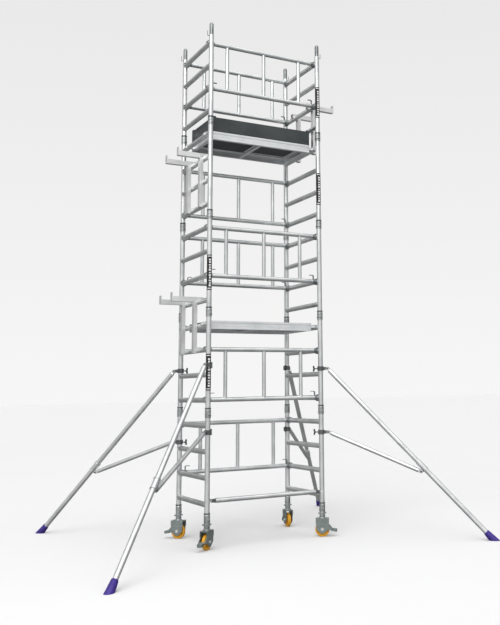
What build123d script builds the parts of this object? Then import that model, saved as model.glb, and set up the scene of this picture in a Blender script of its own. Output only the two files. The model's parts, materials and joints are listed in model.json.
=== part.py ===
from build123d import *
import math
import os

# Mobile aluminium access tower: ten stacked ladder frames, guardrail frames, two
# trapdoor platforms, toe boards, carry brackets, four stabilisers and four castor legs.
# Millimetres. The origin is on the floor, at the centre of the four stiles.
# +X runs along the bay, +Y from the front to the back, +Z up.

# ---- tower layout ----
bay_length = 1275.0  # stile centre to stile centre along X
frame_width = 795.0  # stile centre to stile centre along Y
lift_height = 1000.0  # one ladder frame
lift_count = 5
rung_pitch = 250.0
rungs_per_frame = 4
first_rung_height = 175.0  # stile end to the first rung's axis

# ---- ladder frame ----
stile_diameter = 50.8
stile_wall = 2.5
rung_diameter = 50.8
rung_wall = 2.2
socket_swell = 3.1  # radial
socket_length = 90.0
socket_taper = 6.0
spigot_side_gap = 1.4  # spigot to the bore of the next stile
spigot_wall = 3.0
spigot_height = 134.0  # above the stile end
spigot_depth = 100.0  # pressed into the stile
spigot_chamfer = 14.0
spigot_tip_diameter = 26.0
clip_ring_wall = 5.1
clip_ring_height = 12.0
clip_wire = 6.0
clip_wire_reach = 44.0
clip_wire_drop = 14.0  # below the stile's top end
clip_wire_rise = 54.0

# ---- guardrail frames and base brace ----
guardrail_inset = 62.0  # guardrail plane inside the stile plane
guardrail_lift = 3.0  # rail axis above the rung axis
rail_diameter = 45.0
rail_wall = 2.0
upright_diameter = 38.0
upright_wall = 2.0
upright_spacing = 430.0
front_guardrail_rungs = [(4, 6), (9, 11), (17, 19)]
back_guardrail_rungs = [(1, 3), (9, 11), (12, 14), (17, 19)]
claw_wall = 10.0
claw_width = 30.0
claw_neck = 18.0  # shank between the claw and the rail end
claw_mouth_rise = 20.0  # degrees above the horizontal
lever_thickness = 7.0
lever_width = 20.0
lever_rise = 66.0
lever_hook = 46.0
lever_bend = 14.0
brace_rung_gap = 1.6  # the base brace's claws above the lowest rung
brace_diameter = 45.0
brace_wall = 2.0
brace_claw_height = 20.0
brace_claw_length = 50.0

# ---- platforms ----
platform_rungs = [7, 15]
platform_hatch_side = [-1, 1]  # the half of the bay that holds the trapdoor
platform_end_gap = 57.5  # platform end to the rung's axis
platform_side_gap = 13.0  # platform side to the guardrail's rail
deck_above_rung = 48.0
deck_thickness = 10.0
beam_depth = 85.0
beam_web = 4.0
beam_flange = 30.0
beam_ledge = 24.0
beam_strip_height = 20.0
beam_strip_proud = 5.0
end_beam_width = 40.0
end_beam_depth = 56.0
end_beam_wall = 3.0
cross_tube_diameter = 32.0
cross_tube_wall = 2.0
hook_inset = 25.0  # hook centre inside the platform's side
hook_width = 36.0
hook_wall = 10.0
hook_shank_depth = 26.0
hatch_side_margin = 60.0
hatch_end_margin = 50.0
hatch_from_middle = 30.0
hatch_gap = 2.0
hatch_lip = 12.0
hatch_lip_thickness = 3.0
hinge_pin = 6.0
hinge_barrel = 12.0
hinge_length = 30.0
hinge_inset = 100.0  # hinge centre from the hatch's end
hinge_play = 0.5  # between the barrels
hinge_leaf = 3.0
hinge_leaf_reach = 30.0

# ---- toe boards ----
toe_board_height = 150.0
toe_board_thickness = 18.0
toe_board_gap = 8.0  # above the deck
toe_clip_width = 40.0
toe_clip_thickness = 3.0
toe_clip_extra = 12.0  # clip above the board's top edge

# ---- carry brackets ----
# side of the tower, rung that carries the arm, nearer stile (-1 front, 1 back), distance from it
bracket_places = [
    (-1, 8, 1, 169.5),
    (-1, 8, -1, 276.5),
    (-1, 14, 1, 283.5),
    (-1, 14, -1, 154.5),
    (1, 17, -1, 178.5),
    (1, 17, 1, 245.5),
]
bracket_overhang = 300.0  # beyond the rung's axis
bracket_width = 48.0
bracket_arm_depth = 50.0
bracket_inner_reach = 40.0
bracket_leg_thickness = 40.0
bracket_rung_drop = 2
bracket_lip_height = 90.0
bracket_lip_thickness = 10.0
bracket_hook_wall = 8.0
bracket_wall = 3.0

# ---- adjustable legs ----
leg_side_gap = 3.9  # leg tube to the stile's bore
leg_wall = 4.0
leg_top = 740.0
leg_guide_height = 20.0
leg_head_diameter = 74.0
leg_head_height = 15.0
leg_head_gap = 3.0  # below the nut, with the leg drawn in
kingpin_diameter = 16.0
kingpin_head_diameter = 28.0
kingpin_head_height = 6.0
nut_height = 40.0
nut_diameter = 58.0
nut_lug_reach = 45.0
nut_lug_width = 14.0
nut_lug_height = 12.0
nut_lug_count = 4

# ---- castors ----
wheel_diameter = 150.0
wheel_width = 36.0
tyre_shoulder = 6.0
hub_diameter = 44.0
hub_reach = 13.0  # beyond each face of the tyre
rim_recess = 4.0
rim_diameter = 112.0
axle_diameter = 12.0
axle_head_diameter = 22.0
axle_head_height = 7.0
wheel_headroom = 25.0  # tyre to the top plate
castor_plate_thickness = 8.0
castor_plate_length = 136.0
fork_plate_thickness = 5.0
fork_plate_length = 126.0
fork_side_gap = 2.0  # hub face to side plate
fork_foot_radius = 42.0
fork_shoulder = 2.0  # above the axle, where the side plates start to narrow
fork_skirt_height = 49.0
fork_skirt_wall = 2.0
fork_neck = 30.0
pedal_wheel_gap = 13.5  # tyre to the pedal's pin
pedal_rise = 3.0  # pedal's pin above the axle
pedal_pin_diameter = 8.0
pedal_barrel_diameter = 18.0
pedal_side_gap = 1.0
pedal_length = 66.0
pedal_thickness = 8.0
pedal_depth = 26.0
pedal_wall = 4.0
pedal_neck_width = 36.0
pedal_toe_width = 54.0
pedal_toe_length = 32.0
pedal_toe_radius = 13.0
pedal_droop = 8.0  # degrees
fork_ear_radius = 12.0
castor_heading = {"front_left": 220.0, "front_right": -31.0, "back_left": 133.0, "back_right": 80.0}

# ---- stabilisers ----
# clamp heights above the lowest stile end
stabiliser_upper = {"front_left": 1521.0, "front_right": 1482.0, "back_left": 1483.0, "back_right": 1512.0}
stabiliser_lower = {"front_left": 864.0, "front_right": 818.0, "back_left": 738.0, "back_right": 825.0}
stabiliser_reach = {"front_left": 1760.0, "front_right": 1760.0, "back_left": 1700.0, "back_right": 1700.0}
stabiliser_angle = {"front_left": 44.0, "front_right": 44.5, "back_left": 48.5, "back_right": 49.0}
stabiliser_diameter = 48.0
stabiliser_wall = 2.5
strut_diameter = 41.0
strut_wall = 2.0
clamp_wall = 9.0
clamp_height = 46.0
clamp_tongue = 16.0
clamp_tongue_height = 32.0
clamp_pivot_reach = 78.0
clamp_hinge_diameter = 16.0
fork_plate = 5.0
fork_gap = 0.3
fork_length = 42.0
fork_plug = 10.0
pivot_pin = 12.0
pivot_head_height = 5.0
pivot_head_diameter = 20.0
sleeve_share = 0.585  # along the leg from the upper pivot
sleeve_length = 110.0
sleeve_wall = 4.0
sleeve_ring_wall = 8.0
sleeve_ring_length = 10.0
sleeve_pivot_offset = 46.0
sleeve_pivot_shift = 36.0
handle_bolt = 11.0
handle_reach = 76.0
handle_hub_diameter = 22.0
handle_hub_length = 14.0
handle_bar_height = 54.0
handle_bar_thickness = 11.0
foot_length = 110.0
foot_top_diameter = 58.0
foot_bottom_diameter = 78.0
foot_tube_stop = 60.0

# ---- fits ----
running_fit = 0.05  # radial, shafts and swivels
guide_fit = 0.4  # radial, leg guide in the stile

# ---- worked out ----
corners = {"front_left": (-1, -1), "front_right": (1, -1), "back_left": (-1, 1), "back_right": (1, 1)}
stile_radius = stile_diameter / 2
stile_bore = stile_diameter - 2 * stile_wall
rung_radius = rung_diameter / 2
socket_diameter = stile_diameter + 2 * socket_swell
spigot_diameter = stile_bore - 2 * spigot_side_gap
clip_ring_diameter = stile_diameter + 2 * clip_ring_wall
leg_diameter = stile_bore - 2 * leg_side_gap
guardrail_y = frame_width / 2 - guardrail_inset
platform_end = bay_length / 2 - platform_end_gap
platform_width = 2 * (guardrail_y - rail_diameter / 2 - platform_side_gap)
hook_y = platform_width / 2 - hook_inset
hatch_width = platform_width - 2 * hatch_side_margin
hatch_length = platform_end - hatch_end_margin - hatch_from_middle
axle_height = wheel_diameter / 2
hub_width = wheel_width + 2 * hub_reach
fork_inner = hub_width / 2 + fork_side_gap
fork_outer = fork_inner + fork_plate_thickness
castor_plate_width = 2 * (fork_outer + fork_skirt_wall)
castor_top = wheel_diameter + wheel_headroom + castor_plate_thickness
fork_plate_low = castor_top - castor_plate_thickness
pedal_pivot_reach = wheel_diameter / 2 + pedal_wheel_gap
pedal_pivot_height = axle_height + pedal_rise
leg_head_top = castor_top + leg_head_height
base_height = leg_head_top + leg_head_gap + nut_height  # floor to the lowest stile end
bottom_up = (Align.CENTER, Align.CENTER, Align.MIN)


def rung_z(index):
    """Height of a rung's axis; rungs are counted from 0 at the bottom of the tower."""
    lift, step = divmod(index, rungs_per_frame)
    return base_height + lift * lift_height + first_rung_height + step * rung_pitch


def rod(diameter, start, end):
    """A solid round bar from start to end."""
    line = Vector(*end) - Vector(*start)
    bar = Cylinder(diameter / 2, line.length, align=bottom_up)
    return Plane(origin=start, z_dir=line) * bar


def tube(diameter, wall, start, end):
    """A round tube from start to end."""
    return rod(diameter, start, end) - rod(diameter - 2 * wall, start, end)


def ring(outer, inner, low, high):
    """A ring about the Z axis between two heights."""
    return tube(outer, (outer - inner) / 2, (0, 0, low), (0, 0, high))


def block(low, high):
    """A box between two opposite corners, in any order."""
    size = [abs(b - a) for a, b in zip(low, high)]
    middle = [(a + b) / 2 for a, b in zip(low, high)]
    return Pos(*middle) * Box(*size)


def at_corner(corner, shape):
    """Move a shape from the origin to a stile's axis."""
    side_x, side_y = corners[corner]
    return Pos(side_x * bay_length / 2, side_y * frame_width / 2, 0) * shape


def solids_of(shapes):
    """Every separate solid of a list of shapes."""
    found = []
    for shape in shapes:
        found.extend(shape.solids())
    return found


def save(node, shapes):
    export_step(Compound(solids_of(shapes)), f"parts/{node}.step")


# ---- ladder frames ----
def make_stile():
    """Tube with a swaged socket at its lower end, standing on z = 0."""
    outline = Polyline(
        (stile_bore / 2, 0),
        (socket_diameter / 2, 0),
        (socket_diameter / 2, socket_length - socket_taper),
        (stile_radius, socket_length),
        (stile_radius, lift_height),
        (stile_bore / 2, lift_height),
        close=True,
    )
    return revolve(Plane.XZ * make_face(outline), Axis.Z)


def make_spigot():
    """Tube pressed into the stile's top, with a narrower tapered end that enters the next frame."""
    bore = spigot_diameter / 2 - spigot_wall
    outline = Polyline(
        (bore, lift_height - spigot_depth),
        (stile_bore / 2, lift_height - spigot_depth),
        (stile_bore / 2, lift_height),
        (spigot_diameter / 2, lift_height),
        (spigot_diameter / 2, lift_height + spigot_height - spigot_chamfer),
        (spigot_tip_diameter / 2, lift_height + spigot_height),
        (spigot_tip_diameter / 2 - spigot_wall, lift_height + spigot_height),
        (bore, lift_height + spigot_height - spigot_chamfer),
        close=True,
    )
    return revolve(Plane.XZ * make_face(outline), Axis.Z)


def make_ladder_frame():
    """Two stiles, two spigots and the welded rungs, with the stile ends on z = 0."""
    pieces = []
    stile = make_stile()
    spigot = make_spigot()
    stile_bodies = Part()
    for side in (-1, 1):
        y = side * frame_width / 2
        pieces.append(Pos(0, y, 0) * stile)
        pieces.append(Pos(0, y, 0) * spigot)
        stile_bodies += rod(stile_diameter, (0, y, 0), (0, y, lift_height))
    for step in range(rungs_per_frame):
        z = first_rung_height + step * rung_pitch
        rung = tube(rung_diameter, rung_wall, (0, -frame_width / 2, z), (0, frame_width / 2, z))
        pieces.append(rung - stile_bodies)
    return pieces


def make_ladder_frames():
    frame = make_ladder_frame()
    for side_name, side in (("left", -1), ("right", 1)):
        for lift in range(lift_count):
            place = Pos(side * bay_length / 2, 0, base_height + lift * lift_height)
            save(f"ladder_frame_{side_name}_{lift + 1}", [place * piece for piece in frame])


def make_interlock_clips():
    """A clip ring on every socket and a sprung wire hook just under each top stile end."""
    clips = []
    top = base_height + lift_count * lift_height
    wire_z = top - clip_wire_drop
    for corner, (side_x, _) in corners.items():
        for lift in range(lift_count):
            low = base_height + lift * lift_height + socket_length
            clip = ring(clip_ring_diameter, stile_diameter, low, low + clip_ring_height)
            clips.append(at_corner(corner, clip))
        bend = (clip_wire_reach * side_x, 0, wire_z)
        end = (clip_wire_reach * side_x, 0, wire_z + clip_wire_rise)
        wire = rod(clip_wire, (0, 0, wire_z), bend)
        wire += Pos(*bend) * Sphere(clip_wire / 2)
        wire += rod(clip_wire, bend, end)
        wire -= rod(stile_diameter, (0, 0, wire_z - clip_wire), (0, 0, top))
        clips.append(at_corner(corner, wire))
    save("interlock_clips", clips)


# ---- guardrail frames and base brace ----
def make_guardrails():
    reach = bay_length / 2 - rung_radius - claw_wall - claw_neck
    for name, side, levels in (("front", -1, front_guardrail_rungs), ("back", 1, back_guardrail_rungs)):
        y = side * guardrail_y
        for number, (low, high) in enumerate(levels):
            low_z = rung_z(low) + guardrail_lift
            high_z = rung_z(high) + guardrail_lift
            pieces = []
            rails = Part()
            for z in (low_z, high_z):
                pieces.append(tube(rail_diameter, rail_wall, (-reach, y, z), (reach, y, z)))
                rails += rod(rail_diameter, (-reach, y, z), (reach, y, z))
            for step in (-1, 0, 1):
                x = step * upright_spacing
                upright = tube(upright_diameter, upright_wall, (x, y, low_z), (x, y, high_z))
                pieces.append(upright - rails)
            save(f"guardrail_{name}_{number + 1}", pieces)


def make_claw(shank_diameter):
    """C-shaped claw on a rung along Y at the origin, its shank towards -X, its mouth down and outwards."""
    outer = rung_diameter + 2 * claw_wall
    half = claw_width / 2
    neck_end = -(rung_radius + claw_wall + claw_neck)
    body = rod(outer, (0, -half, 0), (0, half, 0))
    body += rod(shank_diameter, (neck_end, 0, guardrail_lift), (-rung_radius, 0, guardrail_lift))
    body -= rod(rung_diameter, (0, -rail_diameter, 0), (0, rail_diameter, 0))
    far = 2 * outer
    rise = far * math.tan(math.radians(claw_mouth_rise))
    mouth = Polyline((0, 0), (0, -far), (far, -far), (far, rise), close=True)
    return body - extrude(Plane.XZ * make_face(mouth), amount=rail_diameter, both=True)


def make_lever():
    """Trigger lever of a lower claw: a bent strip that stands on the shank and hooks inwards."""
    x = -(rung_radius + claw_wall + lever_thickness)
    top = guardrail_lift + lever_rise
    points = ((x, guardrail_lift), (x, top), (x - lever_hook, top))
    path = Plane.XZ * FilletPolyline(*points, radius=lever_bend)
    section = Plane(origin=(x, 0, guardrail_lift)) * Rectangle(lever_thickness, lever_width)
    lever = sweep(section, path=path)
    return lever - rod(rail_diameter, (-bay_length, 0, guardrail_lift), (0, 0, guardrail_lift))


def make_guardrail_claws():
    """The claws and trigger levers at the ends of every guardrail frame."""
    claws = []
    claw = make_claw(rail_diameter)
    lever = make_lever()
    for side, levels in ((-1, front_guardrail_rungs), (1, back_guardrail_rungs)):
        y = side * guardrail_y
        for low, high in levels:
            for end in (-1, 1):
                turn = Rot(0, 0, 0 if end > 0 else 180)
                x = end * bay_length / 2
                claws.append(Pos(x, y, rung_z(low)) * turn * claw)
                claws.append(Pos(x, y, rung_z(high)) * turn * claw)
                claws.append(Pos(x, y, rung_z(low)) * turn * lever)
    save("guardrail_claws", claws)


def make_base_brace():
    """Tube along the front of the bay, with a flat C claw round each stile."""
    y = -frame_width / 2
    z = rung_z(0) + rung_radius + brace_rung_gap + brace_claw_height / 2
    outer = stile_radius + claw_wall
    reach = bay_length / 2 - outer - brace_claw_length
    pieces = [tube(brace_diameter, brace_wall, (-reach, y, z), (reach, y, z))]
    for end in (-1, 1):
        x = end * bay_length / 2
        low = z - brace_claw_height / 2
        high = z + brace_claw_height / 2
        claw = rod(2 * outer, (x, y, low), (x, y, high))
        claw += block((end * reach, y - brace_diameter / 2, low), (x, y + brace_diameter / 2, high))
        claw -= rod(stile_diameter, (x, y, 0), (x, y, lift_height))
        claw -= block((x + end * stile_radius / 2, y - outer, low), (x + end * 2 * outer, y + outer, high))
        pieces.append(claw)
    save("base_brace", pieces)


# ---- platforms ----
def make_side_beam(deck_z, side):
    """Folded beam along X: a web, a bottom flange, a ledge under the deck and a proud strip on top."""
    outer = side * platform_width / 2
    inner = outer - side * beam_web
    low = deck_z - beam_depth
    ledge = deck_z - deck_thickness
    end = platform_end
    beam = block((-end, inner, low), (end, outer, deck_z))
    beam += block((-end, inner, low), (end, outer - side * beam_flange, low + beam_web))
    beam += block((-end, inner, ledge - beam_web), (end, outer - side * beam_ledge, ledge))
    strip = outer + side * beam_strip_proud
    beam += block((-end, inner, deck_z - beam_strip_height), (end, strip, deck_z))
    return beam


def make_platform_hook(level_z, side_x, side_y):
    """Hook over the rung, with its shank on the end beam's face."""
    x = side_x * bay_length / 2
    y = side_y * hook_y
    low = y - hook_width / 2
    high = y + hook_width / 2
    outer = rung_radius + hook_wall
    hook = rod(2 * outer, (x, low, level_z), (x, high, level_z))
    hook += block((side_x * platform_end, low, level_z), (x, high, level_z + hook_shank_depth))
    hook -= rod(rung_diameter, (x, -frame_width, level_z), (x, frame_width, level_z))
    hook -= block((x - outer, low, level_z - outer), (x + outer, high, level_z))
    return hook


def hatch_box(side, gap, low, high):
    """Box of the trapdoor's place, smaller by a gap on every edge."""
    near = side * (hatch_from_middle + gap)
    far = side * (hatch_from_middle + hatch_length - gap)
    return block((near, -hatch_width / 2 + gap, low), (far, hatch_width / 2 - gap, high))


def make_hatch_lips(side, high):
    """Four strips under the edges of the hatch, which the trapdoor rests on."""
    low = high - hatch_lip_thickness
    near = side * hatch_from_middle
    far = side * (hatch_from_middle + hatch_length)
    wide = hatch_width / 2 + hatch_lip
    strips = []
    for x in (near, far):
        strips.append(block((x - hatch_lip, -wide, low), (x + hatch_lip, wide, high)))
    start = near + side * hatch_lip
    stop = far - side * hatch_lip
    for y in (-hatch_width / 2, hatch_width / 2):
        strips.append(block((start, y - hatch_lip, low), (stop, y + hatch_lip, high)))
    return strips


def hinge_places(side):
    """X of the two hinges of a trapdoor."""
    near = hatch_from_middle + hinge_inset
    far = hatch_from_middle + hatch_length - hinge_inset
    return [side * near, side * far]


def make_hinge(x, deck_z, fixed):
    """One half of a surface hinge. The fixed half has the pin and two barrels, the moving half one."""
    y = hatch_width / 2
    z = deck_z + hinge_barrel / 2
    half = hinge_length / 2
    tip = half + hinge_length
    reach = hinge_leaf_reach if fixed else -hinge_leaf_reach
    if fixed:
        parts = rod(hinge_pin, (x - tip, y, z), (x + tip, y, z))
        spans = ((-tip, -half), (half, tip))
    else:
        parts = Part()
        spans = ((-half + hinge_play, half - hinge_play),)
    for start, stop in spans:
        parts += rod(hinge_barrel, (x + start, y, z), (x + stop, y, z))
        parts += block((x + start, y, deck_z), (x + stop, y + reach, deck_z + hinge_leaf))
    if not fixed:
        parts -= rod(hinge_pin + 2 * running_fit, (x - half, y, z), (x + half, y, z))
    return parts


def make_platform(name, rung, side):
    """Side beams, end beams, cross tube, hooks, hatch lip and hinges; then the deck and the trapdoor."""
    level_z = rung_z(rung)
    deck_z = level_z + deck_above_rung
    under_deck = deck_z - deck_thickness
    inner = platform_width / 2 - beam_web
    ledge_under = under_deck - beam_web
    pieces = [make_side_beam(deck_z, -1), make_side_beam(deck_z, 1)]
    for side_x in (-1, 1):
        outer_x = side_x * platform_end
        inner_x = outer_x - side_x * end_beam_width
        beam = block((outer_x, -inner, ledge_under - end_beam_depth), (inner_x, inner, ledge_under))
        hollow = block(
            (outer_x - side_x * end_beam_wall, -inner, ledge_under - end_beam_depth + end_beam_wall),
            (inner_x + side_x * end_beam_wall, inner, ledge_under - end_beam_wall),
        )
        pieces.append(beam - hollow)
        for side_y in (-1, 1):
            pieces.append(make_platform_hook(level_z, side_x, side_y))
    cross_z = deck_z - beam_depth + beam_web + cross_tube_diameter / 2
    pieces.append(tube(cross_tube_diameter, cross_tube_wall, (0, -inner, cross_z), (0, inner, cross_z)))
    pieces.extend(make_hatch_lips(side, under_deck))
    for x in hinge_places(side):
        pieces.append(make_hinge(x, deck_z, fixed=True))
    save(f"platform_frame_{name}", pieces)

    door = hatch_box(side, hatch_gap, under_deck, deck_z)
    hinges = [make_hinge(x, deck_z, fixed=False) for x in hinge_places(side)]
    save(f"trapdoor_{name}", [door] + hinges)
    return make_deck(side, deck_z)


def make_deck(side, deck_z):
    """The fixed plywood: a half-bay panel, an end strip and a strip along each side of the hatch."""
    end = platform_end
    edge = platform_width / 2 - beam_web
    near = side * hatch_from_middle
    far = side * (hatch_from_middle + hatch_length)
    low = deck_z - deck_thickness
    panels = [
        block((-side * end, -edge, low), (near, edge, deck_z)),
        block((far, -edge, low), (side * end, edge, deck_z)),
    ]
    for side_y in (-1, 1):
        panels.append(block((near, side_y * hatch_width / 2, low), (far, side_y * edge, deck_z)))
    return panels


def make_platforms():
    deck_panels = []
    for name, rung, side in zip(("lower", "upper"), platform_rungs, platform_hatch_side):
        deck_panels.extend(make_platform(name, rung, side))
    save("platform_decks", deck_panels)


# ---- toe boards ----
def make_toe_boards():
    """Four boards on edge round the upper platform, and the clip plates at their ends."""
    low = rung_z(platform_rungs[-1]) + deck_above_rung + toe_board_gap
    high = low + toe_board_height
    clip_low = low - toe_board_gap
    clip_high = high + toe_clip_extra
    outer_x = platform_end
    outer_y = platform_width / 2
    boards = []
    clips = []
    for side in (-1, 1):
        y = side * outer_y
        inner_y = side * (outer_y - toe_board_thickness)
        boards.append(block((-outer_x, inner_y, low), (outer_x, y, high)))
        x = side * outer_x
        inner_x = side * (outer_x - toe_board_thickness)
        edge = outer_y - toe_board_thickness
        boards.append(block((inner_x, -edge, low), (x, edge, high)))
        for end in (-1, 1):
            near = end * (outer_x - toe_clip_width)
            proud = y + side * toe_clip_thickness
            clips.append(block((near, y, clip_low), (end * outer_x, proud, clip_high)))
            near = end * (edge - toe_clip_width)
            proud = x + side * toe_clip_thickness
            clips.append(block((x, near, clip_low), (proud, end * edge, clip_high)))
    save("toe_boards", boards)
    save("toe_board_clips", clips)


# ---- carry brackets ----
def make_bracket(side):
    """Box arm over a rung at z = 0, end lip, box leg outside the rungs and a hook over the lower rung."""
    half = bracket_width / 2
    core = half - bracket_wall
    wide = 2 * bracket_width
    drop = bracket_rung_drop * rung_pitch
    inner_end = -side * bracket_inner_reach
    tip = side * bracket_overhang
    lip_face = tip - side * bracket_lip_thickness
    arm = block((inner_end, -half, 0), (lip_face, half, bracket_arm_depth))
    arm -= block((inner_end, -core, bracket_wall), (lip_face, core, bracket_arm_depth - bracket_wall))
    arm -= rod(rung_diameter, (0, -wide, 0), (0, wide, 0))
    lip = block((tip, -half, 0), (lip_face, half, bracket_lip_height))
    leg_inner = side * rung_radius
    leg_outer = side * (rung_radius + bracket_leg_thickness)
    wall = side * bracket_wall
    leg = block((leg_inner, -half, -drop - rung_radius), (leg_outer, half, 0))
    leg -= block((leg_inner + wall, -core, -drop - rung_radius), (leg_outer - wall, core, 0))
    hook_outer = 2 * (rung_radius + bracket_hook_wall)
    hook = rod(hook_outer, (0, -half, -drop), (0, half, -drop))
    hook -= rod(rung_diameter, (0, -wide, -drop), (0, wide, -drop))
    hook -= block((-hook_outer, -half, -drop - hook_outer), (hook_outer, half, -drop))
    hook -= block((leg_inner, -half, -drop), (2 * leg_outer, half, 0))
    return [arm, lip, leg, hook]


def make_brackets():
    pieces = []
    for side, rung, side_y, from_stile in bracket_places:
        y = side_y * (frame_width / 2 - from_stile)
        place = Pos(side * bay_length / 2, y, rung_z(rung))
        pieces.extend(place * piece for piece in make_bracket(side))
    save("carry_brackets", pieces)


# ---- adjustable legs ----
def make_leg():
    """Tube that slides in the stile, its guide ring, and the head and kingpin that carry the castor."""
    pieces = [tube(leg_diameter, leg_wall, (0, 0, leg_head_top), (0, 0, leg_top))]
    guide = stile_bore - 2 * guide_fit
    pieces.append(ring(guide, leg_diameter, leg_top - leg_guide_height, leg_top))
    head = rod(leg_head_diameter, (0, 0, castor_top), (0, 0, leg_head_top))
    pin_end = fork_plate_low - kingpin_head_height - fork_gap
    head += rod(kingpin_diameter, (0, 0, pin_end), (0, 0, castor_top))
    head += rod(kingpin_head_diameter, (0, 0, pin_end), (0, 0, pin_end + kingpin_head_height))
    pieces.append(head)
    return pieces


def make_nut():
    """Adjusting nut with radial lugs, its top face on the stile's end."""
    low = base_height - nut_height
    nut = rod(nut_diameter, (0, 0, low), (0, 0, base_height))
    for number in range(nut_lug_count):
        lug = block(
            (0, -nut_lug_width / 2, base_height - nut_lug_height),
            (nut_lug_reach, nut_lug_width / 2, base_height),
        )
        nut += Rot(0, 0, number * 360 / nut_lug_count) * lug
    return nut - rod(leg_diameter + 2 * running_fit, (0, 0, low), (0, 0, base_height))


# ---- castors ----
# Each is made with its heading along +X and its swivel on the Z axis, then turned.


def hull_of(*shapes):
    """Convex outline round several flat shapes."""
    return make_hull([edge for shape in shapes for edge in shape.edges()])


def fork_outline():
    """Side plate of the fork: X is the heading and Y is the height."""
    shoulder_height = fork_plate_low - axle_height - fork_shoulder
    middle = Pos(0, fork_plate_low - shoulder_height / 2)
    shoulder = middle * Rectangle(fork_plate_length, shoulder_height)
    neck = middle * Rectangle(fork_neck, shoulder_height)
    pivot = Pos(pedal_pivot_reach, pedal_pivot_height)
    outline = hull_of(Pos(0, axle_height) * Circle(fork_foot_radius), shoulder)
    outline += hull_of(pivot * Circle(fork_ear_radius), neck)
    outline -= Pos(0, axle_height) * Circle(axle_diameter / 2)
    return outline - pivot * Circle(pedal_pin_diameter / 2)


def make_fork():
    """Top plate, two side plates with pedal ears, a skirt, the axle and the pedal's pin."""
    half = castor_plate_length / 2
    edge = castor_plate_width / 2
    plate = block((-half, -edge, fork_plate_low), (half, edge, castor_top))
    plate -= rod(kingpin_diameter + 2 * running_fit, (0, 0, fork_plate_low), (0, 0, castor_top))
    outline = fork_outline()
    pieces = [plate]
    for start in (fork_inner, -fork_outer):
        pieces.append(extrude(Plane.XZ.offset(start) * outline, amount=fork_plate_thickness))
    skirt_low = fork_plate_low - fork_skirt_height
    axle = rod(axle_diameter, (0, -fork_outer, axle_height), (0, fork_outer, axle_height))
    for side in (-1, 1):
        y = side * fork_outer
        pieces.append(block((-half, y, skirt_low), (half, side * edge, fork_plate_low)))
        axle += rod(axle_head_diameter, (0, y, axle_height), (0, y + side * axle_head_height, axle_height))
    pieces.append(axle)
    pin_start = (pedal_pivot_reach, -fork_outer, pedal_pivot_height)
    pin_end = (pedal_pivot_reach, fork_outer, pedal_pivot_height)
    pieces.append(rod(pedal_pin_diameter, pin_start, pin_end))
    return pieces


def make_wheel():
    """Tyre with recessed faces and a hub round the axle."""
    radius = wheel_diameter / 2
    half = wheel_width / 2
    wheel = rod(wheel_diameter, (0, -half, radius), (0, half, radius))
    wheel = fillet(wheel.edges().filter_by(GeomType.CIRCLE), tyre_shoulder)
    for side in (-1, 1):
        wheel -= rod(rim_diameter, (0, side * (half - rim_recess), radius), (0, side * half, radius))
    wheel += rod(hub_diameter, (0, -hub_width / 2, radius), (0, hub_width / 2, radius))
    return wheel - rod(axle_diameter + 2 * running_fit, (0, -hub_width, radius), (0, hub_width, radius))


def pedal_outline(wall):
    """The tread's outline, drawn in by a wall on every edge."""
    start = pedal_pin_diameter / 2
    neck_length = pedal_thickness + 2 * wall
    neck = Pos(start + neck_length / 2 - wall, 0) * Rectangle(neck_length, pedal_neck_width - 2 * wall)
    toe = Pos(pedal_length - pedal_toe_length / 2, 0) * RectangleRounded(
        pedal_toe_length - 2 * wall, pedal_toe_width - 2 * wall, pedal_toe_radius - wall
    )
    return hull_of(neck, toe)


def make_pedal():
    """Brake pedal: a barrel on its pin and a broad drooping tread with turned-down edges."""
    barrel_half = fork_inner - pedal_side_gap
    shell = extrude(pedal_outline(0), amount=pedal_depth)
    shell -= extrude(pedal_outline(pedal_wall), amount=pedal_depth - pedal_wall)
    pedal = rod(pedal_barrel_diameter, (0, -barrel_half, 0), (0, barrel_half, 0))
    pedal += Rot(0, pedal_droop, 0) * Pos(0, 0, pedal_thickness / 2 - pedal_depth) * shell
    pedal -= rod(pedal_pin_diameter + 2 * running_fit, (0, -fork_outer, 0), (0, fork_outer, 0))
    return Pos(pedal_pivot_reach, 0, pedal_pivot_height) * pedal


def make_castor_legs():
    leg = make_leg()
    nut = make_nut()
    fork = make_fork()
    wheel = make_wheel()
    pedal = make_pedal()
    for corner, heading in castor_heading.items():
        turn = Rot(0, 0, heading)
        save(f"adjustable_leg_{corner}", [at_corner(corner, piece) for piece in leg])
        save(f"leg_nut_{corner}", [at_corner(corner, nut)])
        save(f"castor_fork_{corner}", [at_corner(corner, turn * piece) for piece in fork])
        save(f"castor_wheel_{corner}", [at_corner(corner, turn * wheel)])
        save(f"brake_pedal_{corner}", [at_corner(corner, turn * pedal)])


# ---- stabilisers ----
# Each is made in the XZ plane with its stile on the Z axis and its foot towards +X, then turned.
def make_fork_end(diameter):
    """Two plates on a plug, for a tube that starts fork_length up the Z axis; the pin is along Y."""
    gap = clamp_tongue / 2 + fork_gap
    half = clamp_tongue_height / 2
    plug = rod(diameter, (0, 0, fork_length - fork_plug), (0, 0, fork_length))
    for side in (-1, 1):
        inner = side * gap
        outer = side * (gap + fork_plate)
        cheek = block((-half, inner, 0), (half, outer, fork_length - fork_plug))
        cheek += rod(2 * half, (0, inner, 0), (0, outer, 0))
        plug += cheek
    return plug - rod(pivot_pin, (0, -fork_length, 0), (0, fork_length, 0))


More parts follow.
